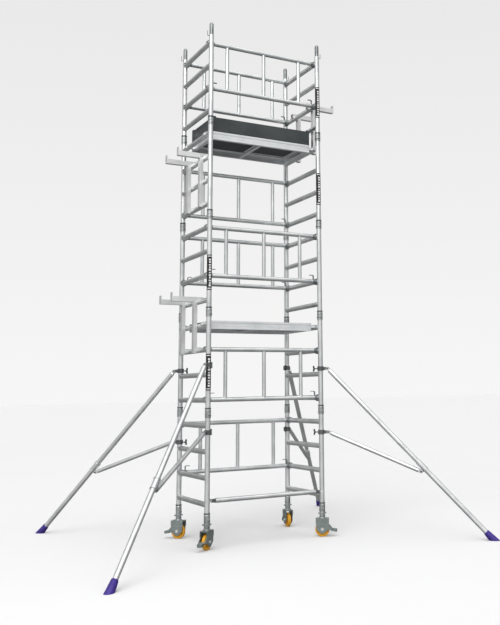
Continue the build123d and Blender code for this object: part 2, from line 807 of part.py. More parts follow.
def make_clamp(z):
    """Clamp ring with its hinge barrel, tongue and T-handle."""
    inner = stile_diameter + 2 * running_fit
    outer = stile_diameter + 2 * clamp_wall
    low = z - clamp_height / 2
    high = z + clamp_height / 2
    half = clamp_tongue_height / 2
    cheek = clamp_tongue / 2
    clamp = rod(outer, (0, 0, low), (0, 0, high))
    clamp += rod(clamp_hinge_diameter, (0, outer / 2, low), (0, outer / 2, high))
    clamp += block((0, -cheek, z - half), (clamp_pivot_reach, cheek, z + half))
    clamp += rod(2 * half, (clamp_pivot_reach, -cheek, z), (clamp_pivot_reach, cheek, z))
    clamp += rod(handle_bolt, (-handle_reach, 0, z), (0, 0, z))
    clamp += rod(handle_hub_diameter, (-handle_reach, 0, z), (-handle_reach + handle_hub_length, 0, z))
    bar = handle_bar_thickness / 2
    clamp += block(
        (-handle_reach - bar, -bar, z - handle_bar_height / 2),
        (-handle_reach + bar, bar, z + handle_bar_height / 2),
    )
    clamp -= rod(inner, (0, 0, low), (0, 0, high))
    return clamp - rod(pivot_pin, (clamp_pivot_reach, -cheek, z), (clamp_pivot_reach, cheek, z))


def make_pin(place):
    """Pivot pin along Y, with a head at each end."""
    cheek = Vector(0, clamp_tongue / 2 + fork_gap + fork_plate, 0)
    head = Vector(0, pivot_head_height, 0)
    pin = rod(pivot_pin, place - cheek, place + cheek)
    pin += rod(pivot_head_diameter, place + cheek, place + cheek + head)
    return pin + rod(pivot_head_diameter, place - cheek, place - cheek - head)


def make_member(diameter, wall, start, end, end_stop, forked_end):
    """Tube with a fork end at start and, when forked_end is true, another at end."""
    along = (end - start).normalized()
    fork = make_fork_end(diameter)
    across = Vector(0, 1, 0)
    pieces = [
        tube(diameter, wall, start + along * fork_length, end - along * end_stop),
        Plane(origin=start, x_dir=across.cross(along), z_dir=along) * fork,
    ]
    if forked_end:
        pieces.append(Plane(origin=end, x_dir=across.cross(-along), z_dir=-along) * fork)
    return pieces


def make_sleeve(start, along, inward):
    """Ringed sleeve round the leg, centred at start, with a tongue for the strut."""
    outer = stabiliser_diameter + 2 * sleeve_wall
    ring_outer = stabiliser_diameter + 2 * sleeve_ring_wall
    half = along * (sleeve_length / 2)
    band = along * sleeve_ring_length
    root = start + along * sleeve_pivot_shift
    cheek = Vector(0, clamp_tongue / 2, 0)
    pivot = root + inward * sleeve_pivot_offset
    sleeve = rod(outer, start - half, start + half)
    sleeve += rod(ring_outer, start - half, start - half + band)
    sleeve += rod(ring_outer, start + half - band, start + half)
    tongue = Box(sleeve_pivot_offset, clamp_tongue_height, clamp_tongue)
    tongue = Pos(sleeve_pivot_offset / 2, 0, 0) * tongue
    sleeve += Plane(origin=root, x_dir=inward, z_dir=(0, 1, 0)) * tongue
    sleeve += rod(clamp_tongue_height, pivot - cheek, pivot + cheek)
    sleeve -= rod(stabiliser_diameter, start - half * 2, start + half * 2)
    return sleeve - rod(pivot_pin, pivot - cheek, pivot + cheek), pivot


def make_foot(ground, along):
    """Tapered rubber foot round the leg's end, cut level with the floor."""
    foot_slope = (foot_bottom_diameter - foot_top_diameter) / foot_length
    below = foot_bottom_diameter
    cone = Cone(
        foot_top_diameter / 2,
        (foot_bottom_diameter + foot_slope * below) / 2,
        foot_length + below,
        align=bottom_up,
    )
    foot = Plane(origin=ground - along * foot_length, z_dir=along) * cone
    foot -= rod(stabiliser_diameter, ground - along * 2 * foot_length, ground - along * foot_tube_stop)
    wide = 2 * foot_length
    return foot - block((ground.X - wide, -wide, -wide), (ground.X + wide, wide, 0))


def make_stabiliser(corner):
    """Leg, strut and sleeve; the two clamps and three pivot pins; and the foot."""
    upper = Vector(clamp_pivot_reach, 0, base_height + stabiliser_upper[corner])
    lower = Vector(clamp_pivot_reach, 0, base_height + stabiliser_lower[corner])
    ground = Vector(stabiliser_reach[corner], 0, 0)
    line = ground - upper
    along = line.normalized()
    inward = Vector(along.Z, 0, -along.X)
    sleeve, pivot = make_sleeve(upper + line * sleeve_share, along, inward)
    tubes = make_member(stabiliser_diameter, stabiliser_wall, upper, ground, foot_tube_stop, False)
    tubes += make_member(strut_diameter, strut_wall, lower, pivot, fork_length, True)
    tubes.append(sleeve)
    fittings = [make_clamp(upper.Z), make_clamp(lower.Z)]
    fittings += [make_pin(place) for place in (upper, lower, pivot)]
    return tubes, fittings, [make_foot(ground, along)]


def make_stabilisers():
    for corner, (side_x, side_y) in corners.items():
        angle = math.radians(stabiliser_angle[corner])
        heading = math.degrees(math.atan2(side_y * math.sin(angle), side_x * math.cos(angle)))
        names = ("stabiliser_leg", "stabiliser_clamps", "stabiliser_foot")
        for name, pieces in zip(names, make_stabiliser(corner)):
            save(f"{name}_{corner}", [at_corner(corner, Rot(0, 0, heading) * piece) for piece in pieces])


os.makedirs("parts", exist_ok=True)
make_ladder_frames()
make_interlock_clips()
make_guardrails()
make_guardrail_claws()
make_base_brace()
make_platforms()
make_toe_boards()
make_brackets()
make_castor_legs()
make_stabilisers()
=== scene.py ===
import json
import math

import bmesh
import bpy
from mathutils import Matrix, Vector


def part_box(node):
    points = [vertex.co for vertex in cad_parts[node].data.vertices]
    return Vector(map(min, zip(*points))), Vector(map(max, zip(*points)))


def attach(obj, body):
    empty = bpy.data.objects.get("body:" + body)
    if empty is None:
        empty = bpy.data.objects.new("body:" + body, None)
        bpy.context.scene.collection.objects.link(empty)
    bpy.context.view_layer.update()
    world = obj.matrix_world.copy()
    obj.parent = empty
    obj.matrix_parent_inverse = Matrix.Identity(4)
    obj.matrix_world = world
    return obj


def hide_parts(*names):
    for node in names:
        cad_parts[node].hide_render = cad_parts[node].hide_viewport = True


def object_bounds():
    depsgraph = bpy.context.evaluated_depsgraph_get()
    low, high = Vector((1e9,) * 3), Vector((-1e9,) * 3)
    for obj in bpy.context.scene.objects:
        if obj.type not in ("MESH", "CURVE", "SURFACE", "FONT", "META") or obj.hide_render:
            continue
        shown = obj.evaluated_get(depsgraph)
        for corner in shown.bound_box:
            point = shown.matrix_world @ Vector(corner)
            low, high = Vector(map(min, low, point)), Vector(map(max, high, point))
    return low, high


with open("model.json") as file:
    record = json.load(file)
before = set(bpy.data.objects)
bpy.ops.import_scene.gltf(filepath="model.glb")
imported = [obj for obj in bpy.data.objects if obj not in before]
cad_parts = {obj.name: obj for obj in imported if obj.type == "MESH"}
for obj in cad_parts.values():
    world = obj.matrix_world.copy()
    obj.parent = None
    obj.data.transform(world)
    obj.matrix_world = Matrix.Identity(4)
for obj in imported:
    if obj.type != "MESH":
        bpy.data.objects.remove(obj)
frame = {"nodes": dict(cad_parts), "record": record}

cad_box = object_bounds()

# Looks of a mobile access tower: metres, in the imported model's frame. Places are read from
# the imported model: its nodes' boxes, and the joints and mounts of its record. The sizes
# that the looks also need are repeated here, as the CAD has them.
CORNERS = ("front_left", "front_right", "back_left", "back_right")

# ladder frames, stacked in lifts
STILE_RADIUS = 0.0254
RUNG_RADIUS = 0.0254
RUNG_PITCH = 0.25
RUNG_COUNT = 20
FIRST_RUNG = 0.175
LIFT = 1.0
LIFT_COUNT = 5
SOCKET_LENGTH = 0.090
SOCKET_RADIUS = 0.0285
RUNG_BEAD = 0.0026

# guardrail frames
RAIL_RADIUS = 0.0225
UPRIGHT_RADIUS = 0.0190
UPRIGHT_SPACING = 0.430
RAIL_BEAD = 0.0022
GUARDRAIL_COUNTS = {"front": 3, "back": 4}

# platforms: the hinge pin is a little above the deck
PLATFORM_END = 0.580
PLATFORM_HALF_WIDTH = 0.300
HINGE_ABOVE_DECK = 0.006

# adjustable legs and castors
THREAD_PITCH = 0.008
THREAD_DEPTH = 0.0011
THREAD_RADIUS = 0.0190
LEG_HEAD_HEIGHT = 0.015

# stabilisers: the pivot and the handle are measured from the stile's axis
CLAMP_PIVOT = 0.078
HANDLE_REACH = 0.076
FOOT_RADIUS = 0.0390
FOOT_TAPER = 0.0100
FOOT_LENGTH = 0.110
# the heights of each stabiliser's upper and lower clamp
CLAMP_HEIGHTS = {
    "front_left": (1.762, 1.105),
    "front_right": (1.723, 1.059),
    "back_left": (1.724, 0.979),
    "back_right": (1.753, 1.066),
}

UP = Vector((0.0, 0.0, 1.0))
# edges that turn more than this are drawn sharp
SHARP_ANGLE = math.radians(38.0)


# ---- materials ----
class Graph:
    """A material's node tree, with short calls for the nodes that the finishes share."""

    def __init__(self, name):
        self.material = bpy.data.materials.new(name)
        self.material.use_nodes = True
        self.tree = self.material.node_tree
        self.shader = self.tree.nodes["Principled BSDF"]
        self.place = self.tree.nodes.new("ShaderNodeTexCoord").outputs["Object"]

    def link(self, source, target):
        self.tree.links.new(source, target)

    def noise(self, scale, detail=4.0, rough=0.55):
        node = self.tree.nodes.new("ShaderNodeTexNoise")
        node.inputs["Scale"].default_value = scale
        node.inputs["Detail"].default_value = detail
        node.inputs["Roughness"].default_value = rough
        self.link(self.place, node.inputs["Vector"])
        return node.outputs["Fac"]

    def cells(self, scale, feature="F1"):
        node = self.tree.nodes.new("ShaderNodeTexVoronoi")
        node.feature = feature
        node.inputs["Scale"].default_value = scale
        self.link(self.place, node.inputs["Vector"])
        return node.outputs["Distance"]

    def spread(self, value, low, high, out_low, out_high):
        """Maps a value from one range to another, held at both ends."""
        node = self.tree.nodes.new("ShaderNodeMapRange")
        for index, number in enumerate((low, high, out_low, out_high), start=1):
            node.inputs[index].default_value = number
        self.link(value, node.inputs["Value"])
        return node.outputs["Result"]

    def blend(self, factor, first, second):
        """Mixes two colours, each a colour or another node's output."""
        node = self.tree.nodes.new("ShaderNodeMix")
        node.data_type = "RGBA"
        self.link(factor, node.inputs["Factor"])
        for socket, colour in ((node.inputs[6], first), (node.inputs[7], second)):
            if isinstance(colour, tuple):
                socket.default_value = (*colour, 1.0)
            else:
                self.link(colour, socket)
        return node.outputs[2]

    def bump(self, height, distance, strength=1.0):
        node = self.tree.nodes.new("ShaderNodeBump")
        node.inputs["Distance"].default_value = distance
        node.inputs["Strength"].default_value = strength
        self.link(height, node.inputs["Height"])
        self.link(node.outputs["Normal"], self.shader.inputs["Normal"])


def satin_metal(name, colour, stain, roughness, metallic=0.85, grain=420.0, bump=0.000012):
    """Extruded or cast metal: a cloudy stain, rubbed patches and a fine grain."""
    graph = Graph(name)
    clouds = graph.spread(graph.noise(7.0, 6.0), 0.35, 0.75, 0.0, 1.0)
    scuffs = graph.spread(graph.noise(48.0, 8.0, 0.7), 0.52, 0.72, 0.0, 0.45)
    tone = graph.blend(clouds, colour, stain)
    lighter = tuple(min(1.0, part * 1.12) for part in colour)
    graph.link(graph.blend(scuffs, tone, lighter), graph.shader.inputs["Base Color"])
    fine = graph.noise(grain, 3.0)
    rough = graph.spread(fine, 0.3, 0.7, roughness - 0.06, roughness + 0.08)
    graph.link(rough, graph.shader.inputs["Roughness"])
    graph.shader.inputs["Metallic"].default_value = metallic
    graph.bump(fine, bump)
    return graph.material


def moulded(name, colour, shade, roughness, pebble=900.0, bump=0.00006):
    """Moulded polymer or rubber: a slight tone drift and a pebbled skin."""
    graph = Graph(name)
    drift = graph.spread(graph.noise(22.0, 5.0), 0.35, 0.7, 0.0, 1.0)
    graph.link(graph.blend(drift, colour, shade), graph.shader.inputs["Base Color"])
    skin = graph.noise(pebble, 2.0)
    rough = graph.spread(skin, 0.3, 0.7, roughness - 0.05, roughness + 0.1)
    graph.link(rough, graph.shader.inputs["Roughness"])
    graph.bump(skin, bump)
    return graph.material


def film_board(name, colour, shade, roughness):
    """Film-faced board: a pressed mesh pattern and scuffed patches."""
    graph = Graph(name)
    scuffs = graph.spread(graph.noise(3.5, 5.0, 0.5), 0.38, 0.72, 0.0, 1.0)
    graph.link(graph.blend(scuffs, colour, shade), graph.shader.inputs["Base Color"])
    rough = graph.spread(scuffs, 0.0, 1.0, roughness, roughness + 0.15)
    graph.link(rough, graph.shader.inputs["Roughness"])
    mesh = graph.spread(graph.cells(260.0, "DISTANCE_TO_EDGE"), 0.0, 0.12, 0.0, 1.0)
    graph.bump(mesh, 0.0003, 0.6)
    return graph.material


# each metal: colour, stain, roughness and how metallic, then its grain and bump if coarser
tube_metal = satin_metal("tube_metal", (0.84, 0.85, 0.85), (0.60, 0.62, 0.63), 0.27, 0.92)
rail_metal = satin_metal("rail_metal", (0.80, 0.82, 0.82), (0.58, 0.60, 0.61), 0.28, 0.92)
beam_metal = satin_metal("beam_metal", (0.90, 0.92, 0.93), (0.76, 0.79, 0.80), 0.34, 0.70)
box_metal = satin_metal("box_metal", (0.86, 0.87, 0.86), (0.74, 0.75, 0.74), 0.36, 0.75)
cast_metal = satin_metal("cast_metal", (0.36, 0.38, 0.38), (0.17, 0.19, 0.19), 0.44, 0.75,
                         bump=0.00012)
dark_steel = satin_metal("dark_steel", (0.16, 0.17, 0.17), (0.08, 0.08, 0.09), 0.45, 0.7,
                         bump=0.0001)
clip_steel = satin_metal("clip_steel", (0.17, 0.18, 0.18), (0.08, 0.09, 0.09), 0.42, 0.75)
socket_metal = satin_metal("socket_metal", (0.50, 0.52, 0.52), (0.20, 0.21, 0.21), 0.36, 0.85,
                           grain=190.0, bump=0.0002)
spigot_metal = satin_metal("spigot_metal", (0.30, 0.32, 0.32), (0.15, 0.16, 0.16), 0.36, 0.85,
                           grain=300.0, bump=0.0001)
weld_metal = satin_metal("weld_metal", (0.62, 0.64, 0.64), (0.34, 0.36, 0.36), 0.42, 0.85,
                         grain=520.0, bump=0.0001)
bolt_metal = satin_metal("bolt_metal", (0.78, 0.80, 0.79), (0.56, 0.58, 0.58), 0.30, 0.85)
zinc_steel = satin_metal("zinc_steel", (0.62, 0.64, 0.64), (0.42, 0.45, 0.45), 0.30, 0.9)
nut_metal = satin_metal("nut_metal", (0.40, 0.43, 0.43), (0.22, 0.25, 0.25), 0.44, 0.8,
                        grain=380.0, bump=0.00012)
fork_metal = satin_metal("fork_metal", (0.27, 0.31, 0.30), (0.17, 0.20, 0.19), 0.42, 0.6)
lip_metal = satin_metal("lip_metal", (0.42, 0.46, 0.45), (0.28, 0.32, 0.31), 0.36, 0.7)
deck_film = film_board("deck_film", (0.020, 0.024, 0.026), (0.045, 0.052, 0.055), 0.42)
toe_film = film_board("toe_film", (0.034, 0.042, 0.044), (0.058, 0.068, 0.070), 0.24)
wheel_orange = moulded("wheel_orange", (0.86, 0.43, 0.020), (0.74, 0.34, 0.014), 0.34)
foot_blue = moulded("foot_blue", (0.045, 0.018, 0.26), (0.028, 0.010, 0.17), 0.42)
label_film = moulded("label_film", (0.006, 0.006, 0.007), (0.012, 0.012, 0.014), 0.62, 500.0)
label_ink = moulded("label_ink", (0.93, 0.93, 0.92), (0.84, 0.84, 0.83), 0.5, 500.0)
grip_rubber = moulded("grip_rubber", (0.022, 0.023, 0.024), (0.040, 0.041, 0.043), 0.55)

slot_material = {
    "frame_tube": tube_metal,
    "guardrail_tube": rail_metal,
    "brace_tube": tube_metal,
    "platform_beam": beam_metal,
    "bracket_box": box_metal,
    "stabiliser_tube": tube_metal,
    "toe_clip": toe_film,
    "claw_casting": cast_metal,
    "clip_steel": clip_steel,
    "clamp_steel": dark_steel,
    "deck_board": deck_film,
    "trapdoor_board": deck_film,
    "toe_board": toe_film,
    "leg_steel": zinc_steel,
    "nut_casting": nut_metal,
    "fork_steel": fork_metal,
    "pedal_steel": fork_metal,
    "wheel_polymer": wheel_orange,
    "foot_rubber": foot_blue,
}
for subpart in frame["record"]["subparts"]:
    node = frame["nodes"][subpart["node"]]
    for place in node.material_slots:
        place.material = slot_material[subpart["material_slot"]]


# ---- shapes ----
class Shape:
    """Vertices and faces gathered from many small forms, for one piece."""

    def __init__(self):
        self.verts = []
        self.faces = []

    def add(self, verts, faces, at=Matrix.Identity(4)):
        start = len(self.verts)
        self.verts += [at @ Vector(point) for point in verts]
        self.faces += [tuple(start + index for index in face) for face in faces]

    def lathe(self, profile, at, count=40):
        """Turns a closed (radius, height) outline about the local Z axis."""
        verts = []
        faces = []
        size = len(profile)
        for turn in range(count):
            angle = 2.0 * math.pi * turn / count
            verts += [(radius * math.cos(angle), radius * math.sin(angle), z)
                      for radius, z in profile]
            here = turn * size
            there = (turn + 1) % count * size
            for k in range(size):
                after = (k + 1) % size
                faces.append((here + k, there + k, there + after, here + after))
        self.add(verts, faces, at)

    def cap(self, radius, height, at, count=24, edge=0.25, waist=1.0):
        """A solid turned button from the local origin up, with a rounded rim."""
        rise = height * edge
        profile = ((radius * waist, 0.0), (radius, rise),
                   (radius, height - rise), (radius - rise, height))
        verts = [(0.0, 0.0, 0.0)]
        faces = []
        for ring_radius, z in profile:
            for turn in range(count):
                angle = 2.0 * math.pi * turn / count
                verts.append((ring_radius * math.cos(angle), ring_radius * math.sin(angle), z))
        verts.append((0.0, 0.0, height + rise * 0.4))
        last = len(verts) - 1
        for turn in range(count):
            other = (turn + 1) % count
            faces.append((0, 1 + other, 1 + turn))
            for level in range(3):
                low = 1 + level * count
                faces.append((low + turn, low + other, low + count + other, low + count + turn))
            faces.append((1 + 3 * count + turn, 1 + 3 * count + other, last))
        self.add(verts, faces, at)

    def tube(self, points, radii, closed=False, sides=8):
        """A round bar along points, with a radius for each."""
        verts = []
        faces = []
        size = len(points)
        points = [Vector(point) for point in points]
        normal = None
        for k in range(size):
            before = points[k - 1] if closed or k else points[0]
            after = points[(k + 1) % size] if closed or k < size - 1 else points[-1]
            along = (after - before).normalized()
            if normal is None:
                normal = along.orthogonal().normalized()
            normal = (normal - along * normal.dot(along)).normalized()
            side = along.cross(normal)
            for turn in range(sides):
                angle = 2.0 * math.pi * turn / sides
                around = normal * math.cos(angle) + side * math.sin(angle)
                verts.append(points[k] + around * radii[k])
        for k in range(size if closed else size - 1):
            here = k * sides
            there = (k + 1) % size * sides
            for turn in range(sides):
                step = (turn + 1) % sides
                faces.append((here + turn, here + step, there + step, there + turn))
        if not closed:
            faces.append(tuple(reversed(range(sides))))
            faces.append(tuple((size - 1) * sides + turn for turn in range(sides)))
        self.add(verts, faces)

    def slab(self, size, at, bevel):
        """A box centred on the local origin, with a bevel round every edge."""
        half = [length / 2.0 for length in size]
        verts = []
        for axis in range(3):
            for sign in (-1, 1):
                for a, b in ((-1, -1), (1, -1), (1, 1), (-1, 1)):
                    point = [0.0, 0.0, 0.0]
                    point[axis] = sign * half[axis]
                    point[(axis + 1) % 3] = a * (half[(axis + 1) % 3] - bevel)
                    point[(axis + 2) % 3] = b * (half[(axis + 2) % 3] - bevel)
                    verts.append(tuple(point))
        mesh = bmesh.new()
        for point in verts:
            mesh.verts.new(point)
        bmesh.ops.convex_hull(mesh, input=mesh.verts)
        mesh.verts.index_update()
        order = {vert: index for index, vert in enumerate(mesh.verts)}
        found = [tuple(order[vert] for vert in face.verts) for face in mesh.faces]
        points = [tuple(vert.co) for vert in mesh.verts]
        mesh.free()
        self.add(points, found, at)


def facing(direction, place):
    """A frame at place with its Z axis along a direction."""
    turn = Vector(direction).to_track_quat("Z", "Y").to_matrix().to_4x4()
    return Matrix.Translation(place) @ turn


def level_frame(forward, across, place):
    """An upright frame at place with its X and Y axes along two level directions."""
    return Matrix.Translation(place) @ Matrix((forward, across, UP)).transposed().to_4x4()


def piece(name, shape, material, body, replaced=()):
    """Makes a visible piece that rides on a body, in place of CAD nodes where it names them."""
    mesh = bpy.data.meshes.new(name)
    mesh.from_pydata(shape.verts, [], shape.faces)
    mesh.validate()
    sorter = bmesh.new()
    sorter.from_mesh(mesh)
    bmesh.ops.recalc_face_normals(sorter, faces=sorter.faces)
    sorter.to_mesh(mesh)
    sorter.free()
    mesh.shade_smooth()
    mesh.set_sharp_from_angle(angle=SHARP_ANGLE)
    mesh.materials.append(material)
    thing = bpy.data.objects.new(name, mesh)
    bpy.context.scene.collection.objects.link(thing)
    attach(thing, body)
    if replaced:
        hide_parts(*replaced)
    return thing


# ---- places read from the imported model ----
joints = {joint["name"]: joint for joint in frame["record"]["behaviour"]["joints"]}
mounts = {mount["name"]: mount for mount in frame["record"]["mounts"]}


def hinge(name):
    """A joint's place and its axis."""
    return Vector(joints[name]["pos_m"]), Vector(joints[name]["axis"]).normalized()


def stile_place(corner):
    """The axis of a corner's stiles, which its adjustable leg shares."""
    low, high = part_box(f"adjustable_leg_{corner}")
    return (low.x + high.x) / 2.0, (low.y + high.y) / 2.0


stiles = {corner: stile_place(corner) for corner in CORNERS}
# the foot of the lowest frames' stiles
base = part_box("ladder_frame_left_1")[0].z


def rung_z(index):
    return base + FIRST_RUNG + RUNG_PITCH * index


def deck_z(name):
    """The top of a platform's deck."""
    return hinge(f"trapdoor_{name}_hinge")[0].z - HINGE_ABOVE_DECK


def stabiliser_line(corner):
    """The middle of a stabiliser's foot on the ground, and the level way out to it."""
    x, y = stiles[corner]
    ground = Vector(mounts[f"foot_{corner}"]["pos_m"])
    return ground, Vector((ground.x - x, ground.y - y, 0.0)).normalized()


def castor_top(corner):
    """The castor's swivel place, and the height of its fork's top."""
    swivel = hinge(f"castor_swivel_{corner}")[0]
    return swivel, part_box(f"castor_fork_{corner}")[1].z


# ---- welds ----
def bead(shape, centre, along, main, branch_radius, main_radius, radius):
    """A rippled weld where a branch tube meets the side of a main tube."""
    along = Vector(along)
    main = Vector(main)
    across = along.cross(main)
    count = 96
    ripple = 0.22
    sink = 0.92
    points = []
    radii = []
    for k in range(count):
        angle = 2.0 * math.pi * k / count
        wide = branch_radius * math.cos(angle)
        high = branch_radius * math.sin(angle)
        reach = math.sqrt(max(main_radius**2 - sink * wide * wide, 0.0))
        points.append(Vector(centre) + across * wide + main * high + along * reach)
        radii.append(radius * (1.0 + ripple * (k % 2)))
    shape.tube(points, radii, True, 6)


def make_rung_welds():
    for side in ("left", "right"):
        shape = Shape()
        for corner in (f"front_{side}", f"back_{side}"):
            x, y = stiles[corner]
            inward = (0.0, 1.0 if y < 0.0 else -1.0, 0.0)
            for index in range(RUNG_COUNT):
                bead(shape, (x, y, rung_z(index)), inward, UP, RUNG_RADIUS, STILE_RADIUS, RUNG_BEAD)
        piece(f"rung_welds_{side}", shape, weld_metal, "tower")


def make_guardrail_welds():
    shape = Shape()
    for name, count in GUARDRAIL_COUNTS.items():
        for index in range(1, count + 1):
            low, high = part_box(f"guardrail_{name}_{index}")
            y = (low.y + high.y) / 2.0
            for step in (-1, 0, 1):
                for z, up in ((low.z + RAIL_RADIUS, 1.0), (high.z - RAIL_RADIUS, -1.0)):
                    bead(shape, (step * UPRIGHT_SPACING, y, z), (0.0, 0.0, up), (1.0, 0.0, 0.0),
                         UPRIGHT_RADIUS, RAIL_RADIUS, RAIL_BEAD)
    piece("guardrail_welds", shape, weld_metal, "tower")


# ---- sockets and clips ----
def make_socket_sleeves():
    """The swaged, scraped end of each stile: a skin with rolled rings."""
    inner = SOCKET_RADIUS + 0.0001
    bottom = 0.003
    top = SOCKET_LENGTH - 0.007
    thickness = 0.0009
    steps = 22
    profile = [(inner, bottom), (inner, top)]
    for k in range(steps + 1):
        ring = 0.0007 if 4 < k < 8 or 13 < k < 17 else 0.0
        worn = 0.0004 if k in (0, steps) else 0.0
        profile.append((inner + thickness + ring - worn, top - (top - bottom) * k / steps))
    shape = Shape()
    for x, y in stiles.values():
        for lift in range(LIFT_COUNT):
            shape.lathe(profile, Matrix.Translation((x, y, base + lift * LIFT)), 36)
    piece("socket_sleeves", shape, socket_metal, "tower")


def make_spigot_skins():
    """The bare spigots on top: dull steel with a turned ring and a tapered nose."""
    low = base + LIFT_COUNT * LIFT
    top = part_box(f"ladder_frame_left_{LIFT_COUNT}")[1].z
    nose = top - 0.014
    profile = [(0.0216, low + 0.001), (0.0222, low + 0.003), (0.0222, low + 0.010),
               (0.0218, low + 0.012), (0.0218, low + 0.050), (0.0221, low + 0.052),
               (0.0221, low + 0.056), (0.0218, low + 0.058), (0.0218, nose),
               (0.0135, top - 0.0003), (0.0125, top - 0.0005), (0.0215, nose - 0.001)]
    shape = Shape()
    for x, y in stiles.values():
        shape.lathe(profile, Matrix.Translation((x, y, 0.0)), 44)
    piece("spigot_skins", shape, spigot_metal, "tower")


def make_brace_collars():
    """The base brace's sprung locking collars, behind each claw."""
    reach = 0.5770
    ring_back = 0.0140
    bevel = 0.0030
    low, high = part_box("base_brace")
    z = (low.z + high.z) / 2.0
    shape = Shape()
    for end in (-1, 1):
        at = Matrix.Translation((end * reach, stiles["front_left"][1], z))
        shape.slab((0.0460, 0.0470, 0.0300), at, bevel)
        ring = Matrix.Translation((-end * ring_back, 0.0, 0.0))
        shape.slab((0.0120, 0.0500, 0.0340), at @ ring, bevel)
    piece("brace_collars", shape, dark_steel, "tower")


def make_spring_clips():
    """A bent wire clip round each joint, a hoop, a leg and a nose, with the joint's pin."""
    wire = 0.0024
    around = SOCKET_RADIUS + 0.0045
    hoop_steps = 16
    hoop_turn = math.radians(200.0)
    hoop_rise = 0.028
    leg_rise = 0.062
    nose_rise = 0.074
    pin_rise = 0.045
    clips = Shape()
    pins = Shape()
    for x, y in stiles.values():
        middle = 0.0 if x < 0.0 else math.pi
        out = Vector((0.0, -1.0 if y < 0.0 else 1.0, 0.0))
        for lift in range(LIFT_COUNT):
            low = base + lift * LIFT
            points = []
            for k in range(hoop_steps + 1):
                angle = hoop_turn * (k / hoop_steps - 0.5) + middle
                spot = (x + around * math.cos(angle), y + around * math.sin(angle), low + hoop_rise)
                points.append(spot)
            end_x, end_y = points[-1][:2]
            points.append((end_x, end_y, low + leg_rise))
            points.append((x + 0.98 * (end_x - x), end_y, low + nose_rise))
            clips.tube(points, [wire] * len(points))
            hole = Vector((x, y, low + pin_rise)) + out * (SOCKET_RADIUS + 0.0005)
            pins.cap(0.0065, 0.0042, facing(out, hole))
    piece("spring_clips", clips, clip_steel, "tower")
    piece("joint_pins", pins, bolt_metal, "tower")


# ---- labels ----
def strip(shape, x, y, low, high, half_angle, radius, middle):
    """A thin curved patch on the front of a stile, with its angles in degrees."""
    steps = 10
    thickness = 0.00035
    verts = []
    for z in (low, high):
        for depth in (0.0, thickness):
            for k in range(steps + 1):
                turn = middle + half_angle * (2.0 * k / steps - 1.0)
                angle = -math.pi / 2.0 + math.radians(turn)
                reach = radius + depth
                verts.append((x + reach * math.cos(angle), y + reach * math.sin(angle), z))
    row = steps + 1
    faces = []
    for k in range(steps):
        faces.append((row + k, row + k + 1, 3 * row + k + 1, 3 * row + k))
        faces.append((k + 1, k, 2 * row + k, 2 * row + k + 1))
        faces.append((k, k + 1, row + k + 1, row + k))
        faces.append((2 * row + k + 1, 2 * row + k, 3 * row + k, 3 * row + k + 1))
    faces.append((0, row, 3 * row, 2 * row))
    faces.append((row - 1, 3 * row - 1, 4 * row - 1, 2 * row - 1))
    shape.add(verts, faces)


def make_labels():
    """Black strips with plain pale blocks, on the front stiles."""
    rise = 0.27
    length = 0.36
    film_radius = STILE_RADIUS + 0.0002
    ink_radius = STILE_RADIUS + 0.0005
    film_middle = -12.0
    block_middle = -6.0
    backing = Shape()
    ink = Shape()
    for side, lift in (("left", 1), ("left", 2), ("right", 3), ("right", 4)):
        x, y = stiles[f"front_{side}"]
        low = base + lift * LIFT + rise
        strip(backing, x, y, low, low + length, 78.0, film_radius, film_middle)
        for start, stop in ((0.012, 0.020), (0.340, 0.348)):
            strip(ink, x, y, low + start, low + stop, 50.0, ink_radius, film_middle)
        for block in range(11):
            start = low + 0.036 + 0.0265 * block
            reach = 0.0185 - 0.0030 * (block % 3)
            half = 25.0 - 6.0 * (block % 2)
            strip(ink, x, y, start, start + reach, half, ink_radius, block_middle)
    piece("label_backing", backing, label_film, "tower")
    piece("label_blocks", ink, label_ink, "tower")


# ---- castors ----
def make_wheel(corner):
    """Moulded wheel: crowned tyre with tread grooves, dished disc, ribs and a long hub."""
    place, axis = hinge(f"wheel_spin_{corner}")
    at = facing(axis, place)
    rib_count = 8
    # radius and height, from the bore's end round to the middle of the tyre
    half = [(0.0063, 0.0300), (0.0075, 0.0310), (0.0200, 0.0310), (0.0218, 0.0296),
            (0.0226, 0.0180), (0.0250, 0.0135), (0.0290, 0.0120), (0.0500, 0.0120),
            (0.0535, 0.0132), (0.0560, 0.0166), (0.0590, 0.0178), (0.0660, 0.0180),
            (0.0705, 0.0172), (0.0735, 0.0148), (0.0746, 0.0118), (0.0748, 0.0100),
            (0.0740, 0.0094), (0.0740, 0.0086), (0.0750, 0.0080), (0.0750, 0.0010),
            (0.0744, 0.0000)]
    shape = Shape()
    shape.lathe(half + [(radius, -z) for radius, z in reversed(half[:-1])], at, 72)
    for side in (-1, 1):
        for k in range(rib_count):
            spin = Matrix.Rotation(2.0 * math.pi * k / rib_count, 4, "Z")
            rib = spin @ Matrix.Translation((0.0390, 0.0, side * 0.0145))
            shape.slab((0.0350, 0.0042, 0.0070), at @ rib, 0.0008)
    piece(f"wheel_{corner}_moulding", shape, wheel_orange, f"wheel_{corner}",
          (f"castor_wheel_{corner}",))


